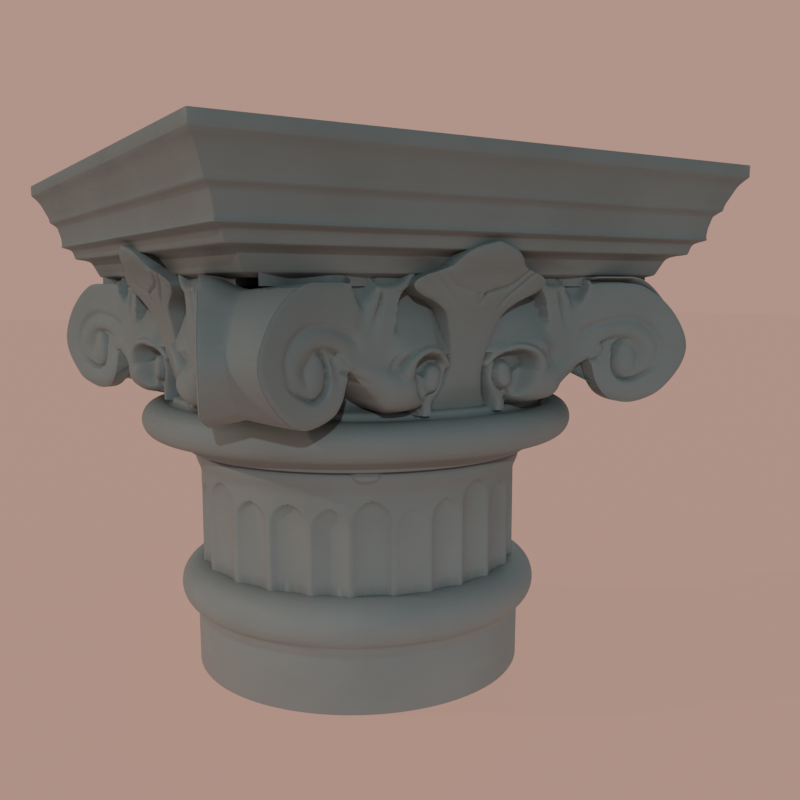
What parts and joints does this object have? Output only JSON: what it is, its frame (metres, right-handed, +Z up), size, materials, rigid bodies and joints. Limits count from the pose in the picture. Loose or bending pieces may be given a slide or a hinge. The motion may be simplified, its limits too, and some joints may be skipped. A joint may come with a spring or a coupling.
{
  "type": "wooden column capital",
  "caption": "Carved wooden column capital: fluted round neck between two tori, scrolled corner volutes with a leaf on each face, and a moulded square abacus.",
  "frame": {"origin": "centre of the underside, on the axis of the column", "axes": "+Z up along the column, -Y towards one carved face, +X to its right"},
  "size_m": [0.408, 0.408, 0.378],
  "materials": {
    "painted_wood": "matt grey primer over carved and sanded wood"
  },
  "bodies": {
    "root": {"capital": "painted_wood"}
  },
  "joints": []
}
